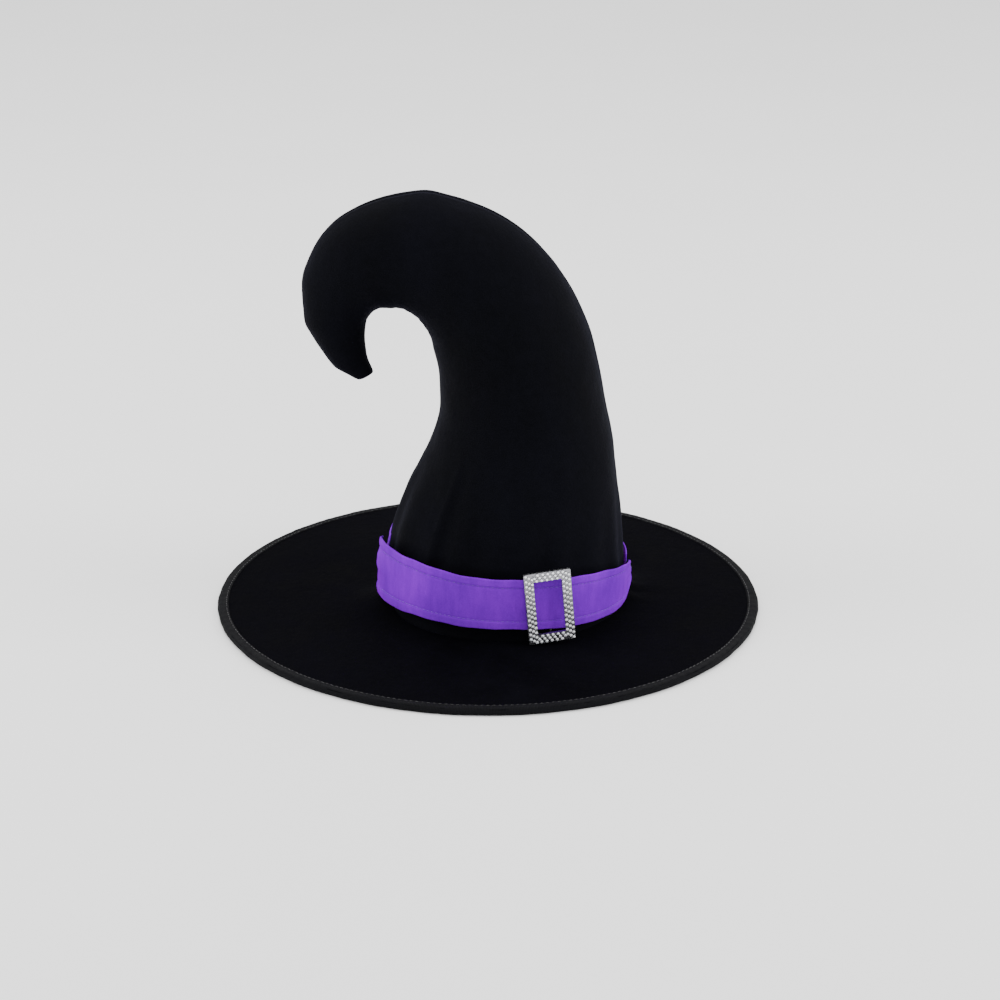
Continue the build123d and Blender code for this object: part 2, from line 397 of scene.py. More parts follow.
def woven(name, low, high, per_metre, sheen=0.2, roughness=0.75, specular=0.2, ribbed=False):
    """Plain-woven or ribbed cloth, with the threads running along the piece's UV map."""
    m = Nodes(name)
    place = m.place(cloth=True)
    weft = m.ribs(place, "X", per_metre)
    warp = m.ribs(place, "Y", per_metre * (0.25 if ribbed else 1.0))
    threads = m.math("MULTIPLY", weft, warp) if not ribbed else weft
    worn = m.noise(m.place(), 40.0, 4.0, 0.6)
    mixed = m.math("ADD", m.math("MULTIPLY", threads, 0.55), m.math("MULTIPLY", worn, 0.45))
    m.link(m.ramp(mixed, ((0.2, low), (0.8, high))), m.shader.inputs["Base Color"])
    m.link(m.ramp(worn, ((0.3, shade(roughness - 0.08)), (0.7, shade(roughness + 0.08)))),
           m.shader.inputs["Roughness"])
    normal = m.bump(threads, 0.0004, 0.6)
    normal = m.bump(worn, 0.001, 0.15, normal)
    m.link(normal, m.shader.inputs["Normal"])
    m.set(Specular_IOR_Level=specular, Sheen_Weight=sheen, Sheen_Roughness=0.4)
    return m.material


def band_cloth():
    """Purple short-pile satin: streaks across the strip and glowing edges."""
    m = Nodes("purple_satin")
    cloth = m.place(cloth=True)
    place = m.place()
    streaks = m.noise(cloth, 40.0, 5.0, 0.6, stretch=(4.0, 1.0, 1.0))
    patches = m.noise(place, 22.0, 3.0, 0.5)
    pile = m.noise(place, 900.0, 2.0, 0.6)
    mixed = m.math("ADD", m.math("MULTIPLY", streaks, 0.3), m.math("MULTIPLY", patches, 0.5))
    mixed = m.math("ADD", mixed, m.math("MULTIPLY", pile, 0.2))
    stops = ((0.3, (0.085, 0.0, 0.3)), (0.5, (0.145, 0.0, 0.45)), (0.72, (0.225, 0.001, 0.62)))
    m.link(m.ramp(mixed, stops), m.shader.inputs["Base Color"])
    m.link(m.ramp(patches, ((0.3, shade(0.5)), (0.7, shade(0.68)))), m.shader.inputs["Roughness"])
    normal = m.bump(streaks, 0.0006, 0.25)
    normal = m.bump(pile, 0.0003, 0.35, normal)
    m.link(normal, m.shader.inputs["Normal"])
    m.set(Specular_IOR_Level=0.02, Sheen_Weight=0.35, Sheen_Roughness=0.3)
    m.set(Sheen_Tint=(0.55, 0.0, 1.0, 1))
    return m.material


def thread(name, low, high):
    """Twisted sewing thread."""
    m = Nodes(name)
    twist = m.noise(m.place(), 2600.0, 2.0, 0.5, stretch=(1.0, 1.0, 0.4))
    m.link(m.ramp(twist, ((0.3, low), (0.7, high))), m.shader.inputs["Base Color"])
    m.link(m.bump(twist, 0.0002, 0.6), m.shader.inputs["Normal"])
    m.set(Roughness=0.6, Sheen_Weight=0.3)
    return m.material


def metal(name, low, high, roughness):
    """Plated or drawn metal, a little uneven in tone and shine."""
    m = Nodes(name)
    worn = m.noise(m.place(), 600.0, 4.0, 0.6)
    m.link(m.ramp(worn, ((0.3, low), (0.7, high))), m.shader.inputs["Base Color"])
    m.link(m.ramp(worn, ((0.3, shade(roughness * 0.7)), (0.7, shade(roughness * 1.4)))),
           m.shader.inputs["Roughness"])
    m.link(m.bump(worn, 0.0001, 0.25), m.shader.inputs["Normal"])
    m.set(Metallic=1.0)
    return m.material


def rhinestone():
    """Foil-backed cut glass: it mirrors what is round it, with a faint colour from stone to stone."""
    m = Nodes("rhinestone")
    spread = m.noise(m.place(), 420.0, 1.0, 0.5)
    stops = ((0.3, (0.82, 0.88, 0.93)), (0.5, (0.97, 0.98, 0.99)), (0.7, (0.92, 0.9, 0.95)))
    m.link(m.ramp(spread, stops), m.shader.inputs["Base Color"])
    m.link(m.ramp(spread, ((0.2, shade(0.02)), (0.8, shade(0.1)))), m.shader.inputs["Roughness"])
    m.set(Metallic=0.45, IOR=1.55, Coat_Weight=1.0, Coat_Roughness=0.02)
    return m.material


def foam():
    """Dark open-cell foam."""
    m = Nodes("grey_foam")
    cells = m.add("ShaderNodeTexVoronoi", Scale=700.0)
    m.link(m.place(), cells.inputs["Vector"])
    m.link(m.ramp(cells.outputs["Distance"], ((0.1, shade(0.02)), (0.7, shade(0.09)))),
           m.shader.inputs["Base Color"])
    m.link(m.bump(cells.outputs["Distance"], 0.0006, 0.8), m.shader.inputs["Normal"])
    m.set(Roughness=0.95)
    return m.material


def filling():
    """White tufts of polyester."""
    m = Nodes("polyester_filling")
    tufts = m.noise(m.place(), 90.0, 6.0, 0.7)
    m.link(m.ramp(tufts, ((0.3, shade(0.6)), (0.7, shade(0.86)))), m.shader.inputs["Base Color"])
    m.link(m.bump(tufts, 0.003, 0.8), m.shader.inputs["Normal"])
    m.set(Roughness=0.95, Sheen_Weight=0.4)
    return m.material


BLUE_SHEEN = (0.42, 0.42, 1.0)
MATERIALS = {
    "velvet": velvet("black_velvet", (0.0006, 0.0007, 0.0013), (0.0026, 0.0027, 0.0046),
                     0.028, BLUE_SHEEN, 0.045),
    "brim": velvet("brim_velvet", (0.0004, 0.0004, 0.0008), (0.0017, 0.0016, 0.0029),
                   0.006, BLUE_SHEEN, 0.02, patches=20.0),
    "binding": woven("binding_tape", (0.0012, 0.0012, 0.0016), (0.005, 0.005, 0.0066), 900,
                     sheen=0.008, specular=0.06, ribbed=True),
    "sweatband": woven("grosgrain", (0.004, 0.004, 0.005), (0.016, 0.016, 0.02), 700,
                       sheen=0.1, ribbed=True),
    "lining": woven("black_lining", (0.003, 0.003, 0.004), (0.012, 0.012, 0.016), 1500,
                    sheen=0.1, roughness=0.45, specular=0.4),
    "board": woven("stiffener_board", (0.01, 0.01, 0.01), (0.04, 0.04, 0.04), 600),
    "purple": band_cloth(),
    "purple_thread": thread("purple_thread", (0.05, 0.001, 0.2), (0.12, 0.003, 0.42)),
    "black_thread": thread("black_thread", (0.004, 0.004, 0.005), (0.02, 0.02, 0.024)),
    "silver": metal("silver_plate", (0.22, 0.22, 0.24), (0.46, 0.46, 0.48), 0.3),
    "hoop": metal("hoop_steel", (0.35, 0.36, 0.38), (0.6, 0.6, 0.62), 0.3),
    "stone": rhinestone(),
    "foam": foam(),
    "filling": filling(),
}


def finish_piece(piece, body, slot, material, *nodes):
    """Gives a piece its material and body, and hides the CAD parts it stands for; slot is not used."""
    piece.data.materials.clear()
    piece.data.materials.append(MATERIALS[material])
    if body:
        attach(piece, body)
    if nodes:
        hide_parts(*nodes)
    return piece


# ---------------------------------------------------------------- crown


def crown_line(distance):
    """The centre line's X, Z, lean and radius at a distance along it, in millimetres and radians."""
    x, z, lean, radius = CROWN_X, FOOT_Z, 0.0, FOOT_RADIUS
    for length, turn, end_radius in CROWN_RUNS:
        step = min(distance, length)
        curvature = math.radians(turn) / length
        end_lean = lean + curvature * step
        x += (math.cos(end_lean) - math.cos(lean)) / curvature
        z += (math.sin(end_lean) - math.sin(lean)) / curvature
        radius += (end_radius - radius) * step / length
        lean = end_lean
        distance -= step
        if distance <= 0:
            break
    return x, z, lean, radius


def crown_rings(distances, around, inset=0.0):
    """Rings of points across the crown: turn 0 is the outer side of the curl, half a turn the inner."""
    turns = np.arange(around) * 2 * math.pi / around
    lines = np.array([crown_line(d) for d in distances])
    radius = np.convolve(np.pad(lines[:, 3], 4, mode="edge"), np.ones(9) / 9, "valid")
    radius[0], radius[-1] = lines[0, 3], lines[-1, 3]
    lean = lines[:, 2]
    side = np.stack([np.cos(lean), np.zeros_like(lean), np.sin(lean)], 1)
    middle = np.stack([lines[:, 0], np.zeros_like(lean), lines[:, 1]], 1)
    out = np.cos(turns)[None, :, None] * side[:, None, :]
    out = out + np.sin(turns)[None, :, None] * np.array([0.0, -1.0, 0.0])
    return middle[:, None, :] + out * (radius[:, None, None] - inset), out, turns


def near(values, middle, width):
    """1 at the middle value, fading to both sides."""
    return np.exp(-(((values - middle) / width) ** 2))


def wrapped(turns, middle):
    """Angles from a middle one, from minus a half turn to a half turn."""
    return (turns - middle + math.pi) % (2 * math.pi) - math.pi


def crown_velvet():
    """The velvet shell: two panels, seamed along the outer and inner side of the curl, round the filling."""
    distances = np.linspace(0, CROWN_LENGTH, 260)
    points, out, turns = crown_rings(distances, 220)
    along = distances[:, None]
    turn = turns[None, :]
    radius = np.linalg.norm(points - points.mean(1, keepdims=True), axis=2)
    lift = 0.9 * ripple(points, 55.0, 3.1) + 0.35 * ripple(points, 17.0, 8.7)
    # seams: a shallow groove with a soft ridge to each side
    for middle in (0.0, math.pi):
        across = wrapped(turn, middle) * radius
        lift += 0.35 * near(np.abs(across), 4.5, 3.0) - 0.9 * near(across, 0.0, 1.1)
    # small folds on the inner side, where the curl presses the cloth together
    inner = near(wrapped(turn, math.pi), 0.0, 0.9)
    wander = 6.0 * ripple(points, 35.0, 5.3)
    bend = smooth_step(along, 235, 285) * (1 - smooth_step(along, 395, 430))
    lift += 0.16 * inner * bend * np.sin((along + 3 * wander) * 2 * math.pi / 17.0)
    # blunt corners on the outer side, and a flat between the last of them and the tip
    outer = near(wrapped(turn, 0.0), 0.0, 0.75)
    lift += outer * (1.6 * near(along, 324.0, 8.0) + 1.1 * near(along, 397.0, 6.0))
    lift += outer * (1.3 * near(along, 420.0, 5.0) - 1.3 * near(along, 438.0, 9.0))
    # a soft upright crease on the front left, and slack puckers over the band
    low = smooth_step(along, 18, 40) * (1 - smooth_step(along, 95, 150))
    lift += low * (1.5 * near(turn, math.radians(132), 0.035) - 1.1 * near(turn, math.radians(126), 0.06))
    slack = smooth_step(along, 10, 30) * (1 - smooth_step(along, 60, 130))
    lift += 0.7 * slack * np.sin(turn * 19 + 2.5 * ripple(points, 60.0, 1.7))
    lift *= 1 - 0.75 * smooth_step(along, CROWN_LENGTH - 40, CROWN_LENGTH)
    points = points + out * np.minimum(lift, 3.0)[:, :, None]
    # the blunt end: cut away on its outer side and drawn out on its inner side
    lean = crown_line(CROWN_LENGTH)[2]
    ahead = np.array([-math.sin(lean), 0, math.cos(lean)])
    last = np.clip((along - (CROWN_LENGTH - 15)) / 15, 0, 1)
    inwards = 5.0 * last * near(wrapped(turn, 0.0), 0.0, 1.2)
    inwards += 2.3 * last * near(wrapped(turn, math.pi), 0.0, 1.0)
    points = points - out * inwards[:, :, None]
    points = points + ahead * (5.0 * last**2 * (1 - np.cos(turn)) / 2)[:, :, None]
    # the tip: rounded over and sewn shut
    end = points[-1].mean(0)
    tip = []
    for share, rise in ((0.93, 1.0), (0.78, 1.9), (0.5, 2.5), (0.2, 2.7)):
        tip.append(end + (points[-1] - end) * share + ahead * (rise - 2.2))
    points = np.concatenate([points, np.array(tip)])
    uv = np.zeros(points.shape[:2] + (2,))
    uv[..., 0] = turns[None, :] * 70.0
    uv[:, :, 1] = np.append(distances, CROWN_LENGTH + np.arange(1, 5))[:, None]
    skin = grid_piece("crown_velvet", points[:, ::-1], close_columns=True, uv=uv[:, ::-1],
                      caps=(len(points) - 1,))
    thicken(skin, VELVET)
    finish_piece(skin, None, "velvet", "velvet", "crown_front_panel", "crown_rear_panel")
    bend_with_curl(skin)


def bend_with_curl(piece):
    """Bakes the piece's transform into its mesh."""
    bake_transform(piece)


def crown_reach(turn, z):
    """How far the crown's surface is from the upright axis of its foot, at a height near the foot."""
    lines = np.array([crown_line(d) for d in np.arange(0, 90, 3.0)])
    shift = np.interp(z, lines[:, 1], lines[:, 0]) - CROWN_X
    radius = np.interp(z, lines[:, 1], lines[:, 3])
    ahead = shift * np.sin(turn)
    return ahead + np.sqrt(radius**2 - shift**2 + ahead**2)


def crown_foam():
    """The foam shell that keeps the lower crown standing."""
    distances = np.linspace(1.0, NECK_STATION - 30, 60)
    grid = crown_rings(distances, 96, inset=FOAM_INSET)[0]
    # round the sweatband it keeps outside the band and the lining's foot
    reach = np.hypot(grid[..., 0] - CROWN_X, grid[..., 1])
    low = 1 - smooth_step(grid[..., 2], SWEATBAND_TOP + 4, SWEATBAND_TOP + 14)
    push = 1 + low * np.maximum(FOAM_FOOT_RADIUS / reach - 1, 0)
    grid[..., 0] = CROWN_X + (grid[..., 0] - CROWN_X) * push
    grid[..., 1] = grid[..., 1] * push
    shell = grid_piece("crown_foam", grid[:, ::-1], close_columns=True)
    thicken(shell, FOAM_THICKNESS)
    finish_piece(shell, None, "foam", "foam", "crown_front_foam", "crown_rear_foam")
    bend_with_curl(shell)


def crown_filling():
    """The polyester filling, from over the head lining to the tip."""
    distances = np.linspace(FILLING_START, CROWN_LENGTH - 6, 90)
    grid, out = crown_rings(distances, 72, inset=FILLING_INSET)[:2]
    grid = grid - out * (1.2 * np.clip(ripple(grid, 22.0, 4.4), 0, 1))[:, :, None]
    fill = grid_piece("crown_filling", grid[:, ::-1], close_columns=True, caps=(0, len(grid) - 1))
    finish_piece(fill, None, "filling", "filling", "lower_filling", "neck_filling", "curl_filling")
    bend_with_curl(fill)


# ---------------------------------------------------------------- head space


def ring_section(profile, around):
    """A closed profile of (radius, height) repeated round a ring: the turns, radii and heights."""
    turns = np.arange(around) * 2 * math.pi / around
    profile = np.array(profile, float)
    radius = np.repeat(profile[None, :, 0], around, 0)
    height = np.repeat(profile[None, :, 1], around, 0)
    return turns, radius, height


def ring_points(turn, radius, height, centre_x=0.0):
    """Points at a turn about an upright axis."""
    return np.stack([centre_x + radius * np.cos(turn), radius * np.sin(turn), height], 2)


def strip_uv(turns, profile, radius):
    """A strip's UV map: its length along U, and the way round its section along V."""
    steps = np.linalg.norm(np.diff(np.array(profile, float), axis=0), axis=1)
    across = np.append(0, np.cumsum(steps))
    along = np.repeat((turns * radius)[:, None], len(profile), 1)
    return np.stack([along, np.repeat(across[None, :], len(turns), 0)], 2)


def head_lining():
    """A gathered cap of lining: eight gores whose pleats run up to a button of cloth at the top."""
    foot = math.asin((SWEATBAND_TOP + 0.6 - LINING_CENTRE_Z) / LINING_RADIUS)
    rises = np.linspace(foot, math.pi / 2 - 0.03, 56)
    turns = np.arange(256) * 2 * math.pi / 256
    slope, turn = rises[:, None], turns[None, :]
    gore = -1.6 * np.abs(np.cos(4 * turn)) ** 24
    pleats = 0.8 * np.sin(48 * turn) * smooth_step(slope, 0.55, 1.4)
    free = smooth_step(slope, foot, foot + 0.3) * np.cos(slope)
    size = LINING_RADIUS + LINING_THICKNESS + (gore + pleats - LINING_THICKNESS) * free
    # it stays inside the foam, which leans in at the left
    inside = crown_reach(turn + math.pi / 2, LINING_CENTRE_Z + size * np.sin(slope)) - LINING_INSET
    size = np.where(slope < 0.9, np.minimum(size, inside / np.cos(slope)), size)
    height = LINING_CENTRE_Z + size * np.sin(slope)
    grid = ring_points(turn, size * np.cos(slope), height, CROWN_X)
    uv = np.stack(np.meshgrid(turns, rises), 2) * LINING_RADIUS
    cap = grid_piece("head_lining", grid, close_columns=True, uv=uv, caps=(len(rises) - 1,))
    thicken(cap, 0.6)
    finish_piece(cap, HAT, "lining", "lining", "head_liner")


def sweat_band():
    """Ribbon inside the head opening, rolled at its lower edge and stitched near its upper one."""
    inner, outer, low, high = SWEATBAND_RADIUS, SWEATBAND_RADIUS + 1.0, 0.9, SWEATBAND_TOP
    profile = [(inner, z) for z in np.linspace(low + 1, high - 0.5, 18)]
    profile += [(inner + 0.5, high), (outer, high - 0.5)]
    profile += [(outer, z) for z in np.linspace(high - 3, low + 1, 12)]
    profile += [(outer - 0.1, low + 0.2), (inner + 0.5, low - 0.1), (inner + 0.1, low + 0.2)]
    turns, radius, height = ring_section(profile, 360)
    turn = turns[:, None]
    slack = 0.18 * np.sin(31 * turn) + 0.12 * np.sin(54 * turn + 1)
    radius = radius + slack * smooth_step(height, 3, 20)
    height = height + 0.12 * np.sin(9 * turn) * (height > 25)
    grid = ring_points(turn, radius, height, CROWN_X)
    band = grid_piece("sweat_band", grid, True, True, uv=strip_uv(turns, profile, inner))
    finish_piece(band, HAT, "ribbon", "sweatband", "sweatband")

    def on_ribbon(turn):
        out = np.array([-math.cos(turn), -math.sin(turn), 0])
        return np.array([CROWN_X, 0, SWEATBAND_TOP - 4.5]) - out * (inner - 0.12), out

    stitches = stitch_ring("sweat_band_stitches", 3.0, 0.45, 150, on_ribbon)
    finish_piece(stitches, HAT, "thread", "black_thread", "sweatband_stitches")


# ---------------------------------------------------------------- brim


def pulled_up(turn, reach):
    """How far the velvet is pulled up the crown's foot, most beside the two tacks."""
    height = 1.2 * near(wrapped(turn, math.radians(100)), 0, 1.3) + 0.6
    right = 7.5 * near(wrapped(turn, math.radians(9)), 0, 0.2)
    right += 3.0 * near(wrapped(turn, math.radians(-8)), 0, 0.1)
    left = 9.0 * near(wrapped(turn, math.radians(189)), 0, 0.27)
    near_foot = np.exp(-np.clip(reach, 0, None) / 7.0)
    further = np.exp(-np.clip(reach, 0, None) / 14.0)
    creases = np.abs(np.sin(wrapped(turn, 0.0) * 17)) * near(wrapped(turn, math.radians(5)), 0, 0.3)
    return height * near_foot + (right + left) * further + 1.6 * creases * further


def brim_grid(inner, outer, rings, around):
    """Points from the circle round the head opening out to the brim's edge."""
    turns = np.arange(around) * 2 * math.pi / around
    share = np.linspace(0, 1, rings) ** 1.25
    start = np.stack([CROWN_X + inner * np.cos(turns), inner * np.sin(turns)], 1)
    edge = np.stack([outer * np.cos(turns), outer * np.sin(turns)], 1)
    flat = start[:, None] + (edge - start)[:, None] * share[None, :, None]
    return flat, turns


def brim_top():
    """The upper velvet, a little uneven where it isn't held, and pulled up at the crown's foot."""
    flat, turns = brim_grid(96.8, BRIM_VELVET_RADIUS, 84, 420)
    points = np.concatenate([flat, np.full(flat.shape[:2] + (1,), BRIM_TOP_Z)], 2)
    reach = np.hypot(flat[..., 0] - CROWN_X, flat[..., 1]) - 97.5
    edge = BRIM_RADIUS - np.hypot(flat[..., 0], flat[..., 1])
    free = smooth_step(edge, 9, 30)
    lift = 0.25 + free * (0.3 * ripple(points, 48.0, 2.2) + 0.12 * ripple(points, 16.0, 6.6))
    lift = np.maximum(lift, 0.05) + pulled_up(turns[:, None], reach)
    points[..., 2] += lift
    top = grid_piece("brim_top_velvet", points, close_rows=True, uv=flat)
    thicken(top, 1.1)
    finish_piece(top, HAT, "velvet", "brim", "brim_top_cover")


def brim_under():
    """The lower velvet, from the sweatband out to the tape."""
    flat = brim_grid(90.8, BRIM_VELVET_RADIUS, 60, 360)[0]
    points = np.concatenate([flat, np.full(flat.shape[:2] + (1,), BRIM_UNDER_Z)], 2)
    edge = BRIM_RADIUS - np.hypot(flat[..., 0], flat[..., 1])
    points[..., 2] += smooth_step(edge, 9, 30) * (0.3 + 0.2 * ripple(points, 40.0, 7.1))
    under = grid_piece("brim_under_velvet", points[::-1], close_rows=True, uv=flat[::-1])
    thicken(under, 0.9)
    finish_piece(under, HAT, "velvet", "brim", "brim_under_cover")


def edge_binding():
    """Tape folded round the brim's edge, a little puckered by its stitches."""
    width, top, edge = BINDING_WIDTH, BINDING_TOP, BRIM_RADIUS
    inner = edge - width
    profile = [(inner + 0.3, top - 0.9), (inner, top - 0.45), (inner + 0.4, top - 0.05)]
    profile += [(r, top + 0.12) for r in np.linspace(inner + 1.2, edge - 3.2, 7)]
    for turn in np.linspace(80, -80, 11):
        angle = math.radians(turn)
        across, up = BINDING_FOLD * math.cos(angle), BINDING_FOLD * math.sin(angle)
        profile.append((edge - 2.9 + across, top / 2 + up))
    profile += [(r, 0.0) for r in np.linspace(edge - 3.2, inner + 1.2, 7)]
    profile += [(inner + 0.4, 0.1), (inner, 0.45), (inner + 0.3, 0.75)]
    profile += [(r, 0.8) for r in np.linspace(inner + 2, edge - 3.6, 5)]
    profile += [(edge - 2.1, top / 2)]
    profile += [(r, top - 0.85) for r in np.linspace(edge - 3.6, inner + 2, 5)]
    turns, radius, height = ring_section(profile, 900)
    turn = turns[:, None]
    upper = smooth_step(height, top * 0.6, top)
    rim = smooth_step(radius, edge - 4, edge)
    pucker = 0.09 * np.sin(150 * turn) + 0.14 * np.sin(37 * turn + 1.3 * np.sin(5 * turn))
    height = height + upper * (pucker + 0.2 * near(radius, inner + 1.4, 0.9) * np.cos(150 * turn))
    radius = radius - rim * np.clip(0.22 + 0.2 * np.sin(23 * turn) + 0.12 * np.sin(61 * turn), 0, 1)
    grid = ring_points(turn, radius, height)
    tape = grid_piece("edge_binding", grid, True, True, uv=strip_uv(turns, profile, edge))
    finish_piece(tape, HAT, "binding_tape", "binding", "brim_binding")

    def on_tape(turn):
        reach = inner + 1.5
        return (reach * math.cos(turn), reach * math.sin(turn), top + 0.1), (0, 0, 1)

    stitches = stitch_ring("edge_stitches", 2.6, 0.42, 300, on_tape)
    finish_piece(stitches, HAT, "thread", "black_thread", "binding_stitches")


# ---------------------------------------------------------------- band


def strip_profile(height):
    """The strip's closed section as (share of half height, offset outwards), with hems at both edges."""
    half, back = height / 2, -BAND_THICKNESS
    rows = np.linspace(-half + 0.5, half - 0.5, 46)
    folded = HEM_FOLD * smooth_step(np.abs(rows), half - HEM_DEPTH - 0.3, half - HEM_DEPTH + 0.9)
    stitched = HEM_FOLD * near(np.abs(rows), half - HEM_DEPTH, 0.7)
    near_edge = 1 - 0.15 / half
    profile = [(h / half, o) for h, o in zip(rows, folded - stitched)]
    profile += [(near_edge, 0.2), (1.0, back / 2), (near_edge, back - 0.1)]
    profile += [(h / half, back) for h in np.linspace(half - 0.6, -half + 0.6, 22)]
    profile += [(-near_edge, back - 0.1), (-1.0, back / 2), (-near_edge, 0.2)]
    return np.array(profile)


def band_edges(degrees):
    """The front strip's lower and upper edge at an angle from the front."""
    turns, lows, highs = zip(*BAND_EDGES)
    return np.interp(degrees, turns, lows), np.interp(degrees, turns, highs)


def band_shape(turn, share, offset):
    """The front strip's radius from the foot's upright axis and its height, at an angle from the front."""
    degrees = np.degrees(turn)
    low, high = band_edges(degrees)
    pinched = smooth_step(np.abs(degrees), PINCH_START, BAND_REACH)
    left = degrees < 0
    # each end leans in at its top, the left one more
    lean = np.where(left, 3.2, 1.0) * smooth_step(share, 0.2, 1.0)
    folds = 0.4 * np.sin(share * 7.0 + 1.0) + 0.2 * np.sin(share * 15.0 + 2.0)
    flare = 0.5 * share + 0.2 * np.sin(turn * 5 + 0.6) * share
    loose = 0.2 * np.sin(turn * 7 + share * 1.5) + 0.12 * np.sin(turn * 17 + share * 2.0)
    radius = BAND_RADIUS - BAND_SET_BACK + offset + pinched * (folds - lean)
    radius = radius + np.clip(flare + loose, 0.0, BAND_SWELL) * (1 - pinched)
    # the tacks draw the ends in
    radius = radius - np.where(left, 1.6, 0.8) * smooth_step(np.abs(degrees), BAND_REACH - 5, BAND_REACH)
    height = (high + low) / 2 + share * (high - low) / 2
    # between the ends, the strip stands round the tilted axis that the buckle slides about
    tilted = (height - BAND_CENTRE_Z) * math.tan(BAND_TILT) * np.sin(turn)
    return radius + tilted * (1 - pinched), height


def on_foot(turn, radius, z):
    """Points at an angle from the front, a radius from the foot's upright axis, and a height."""
    turn, radius, z = np.broadcast_arrays(turn, radius, z)
    return np.stack([CROWN_X + radius * np.sin(turn), -radius * np.cos(turn), z], -1)


def section_points(profile, height):
    """The strip's section with both its measures in millimetres, for the UV map."""
    return profile * (height / 2, 1)


def along_band(turn, share, offset):
    """A place on the front strip, the way it faces there, and the way it runs."""
    step = 0.01
    radius, height = band_shape(turn, share, offset)
    origin = on_foot(turn, radius, height)
    out = on_foot(turn, radius + 1, height) - origin
    radius, height = band_shape(turn + step, share, offset)
    return origin, out, on_foot(turn + step, radius, height) - origin


def band_front():
    """The hemmed front strip, gathered at both ends, with a row of stitches along each hem."""
    profile = strip_profile(BAND_HEIGHT)
    turns = np.linspace(-math.radians(BAND_REACH), math.radians(BAND_REACH), 300)
    turn, share, offset = turns[:, None], profile[None, :, 0], profile[None, :, 1]
    radius, height = band_shape(turn, share, offset)
    edge_wave = 0.3 * np.sin(turn * 9 + 0.8) + 0.2 * np.sin(turn * 23)
    grid = on_foot(turn, radius, height + np.abs(share) ** 3 * edge_wave)
    uv = strip_uv(turns, section_points(profile, BAND_HEIGHT), BAND_RADIUS)
    strip = grid_piece("band_front", grid, close_columns=True, uv=uv, caps=(0, len(turns) - 1))
    finish_piece(strip, HAT, "purple_satin", "purple", "hat_band_front")

    template, faces = thread_template(2.7, 0.4)
    reach = math.radians(PINCH_START + 8)
    hem = 1 - 2 * HEM_DEPTH / BAND_HEIGHT
    places = [
        place_at(*along_band(turn, share, -0.06))
        for share in (-hem, hem)
        for turn in np.arange(-reach, reach, 3.9 / BAND_RADIUS)
    ]
    stitches = many("band_hem_stitches", template, faces, places, True)
    finish_piece(stitches, HAT, "purple_thread", "purple_thread", "hat_band_stitches")


def band_rear():
    """The rear strip, which hugs the crown, with its ends under the front strip's."""
    profile = strip_profile(REAR_HEIGHT)
    turns = math.pi + np.linspace(-math.radians(REAR_REACH), math.radians(REAR_REACH), 260)
    turn, share, offset = turns[:, None], profile[None, :, 0], profile[None, :, 1]
    middle = REAR_CENTRE_Z - REAR_RADIUS * np.sin(turn) * math.sin(REAR_TILT)
    z = middle + share * REAR_HEIGHT / 2 + np.abs(share) ** 3 * 0.4 * np.sin(turn * 10)
    loose = 0.25 * np.sin(turn * 6 + share * 1.3) + 0.2 * np.sin(turn * 15 + share)
    crown = crown_reach(turn, z)
    radius = crown + REAR_STAND_OFF + loose
    # near its ends it keeps between the crown and the front strip's inner face
    ahead = (turn + math.pi) % (2 * math.pi) - math.pi
    end = np.clip(ahead, -math.radians(BAND_REACH), math.radians(BAND_REACH))
    low, high = band_edges(np.degrees(end))
    level = np.clip((2 * z - high - low) / (high - low), -1, 1)
    under = band_shape(end, level, -BAND_THICKNESS)[0] - 0.6
    covered = 1 - smooth_step(np.abs(ahead), math.radians(91), math.radians(104))
    radius = radius + covered * (np.maximum(np.minimum(radius, under), crown + 1.1) - radius) + offset
    grid = on_foot(turn, radius, z)
    uv = strip_uv(turns, section_points(profile, REAR_HEIGHT), REAR_RADIUS)
    strip = grid_piece("band_rear", grid, close_columns=True, uv=uv, caps=(0, len(turns) - 1))
    finish_piece(strip, HAT, "purple_satin", "purple", "hat_band_rear")


def band_tacks():
    """Bars of thread over each pinched end of the front strip."""
    template, faces = thread_template(3.4, 0.55)
    places = []
    for side in (-1, 1):
        for row in range(9):
            share = -0.72 + 0.18 * row
            turn = side * math.radians(BAND_REACH - 1.2)
            radius, height = band_shape(turn, share, 0.0)
            origin = on_foot(turn, radius, height)
            out = on_foot(turn, radius + 1, height) - origin
            along = on_foot(turn + 0.01, radius, height) - origin
            along = along / np.linalg.norm(along) + np.array([0, 0, 0.35 * (-1) ** row])
            places.append(place_at(origin, out, along))
    tacks = many("band_tacks", template, faces, places, True)
    finish_piece(tacks, HAT, "purple_thread", "purple_thread", "band_side_tacks")


# ---------------------------------------------------------------- buckle


def stone_places():
    """The stones' places on the frame, as (along the band, up): slanting rows along every bar."""
    side_middle = (BUCKLE_WIDTH - BUCKLE_BAR) / 2
    end_middle = (BUCKLE_HEIGHT - BUCKLE_BAR) / 2
    inner_half = BUCKLE_WIDTH / 2 - BUCKLE_BAR
    rows = int(BUCKLE_HEIGHT / STONE_PITCH)
    places = []
    for column in range(STONE_COLUMNS):
        step = column - (STONE_COLUMNS - 1) / 2
        across, slant = step * STONE_COLUMN_STEP, -step * STONE_SLANT
        for row in range(rows):
            along = (row - (rows - 1) / 2) * STONE_PITCH + slant
            places += [(side * side_middle + across, along) for side in (-1, 1)]
            if abs(along) < inner_half - STONE_RADIUS / 2:
                places += [(along, side * end_middle + across) for side in (-1, 1)]
    return places


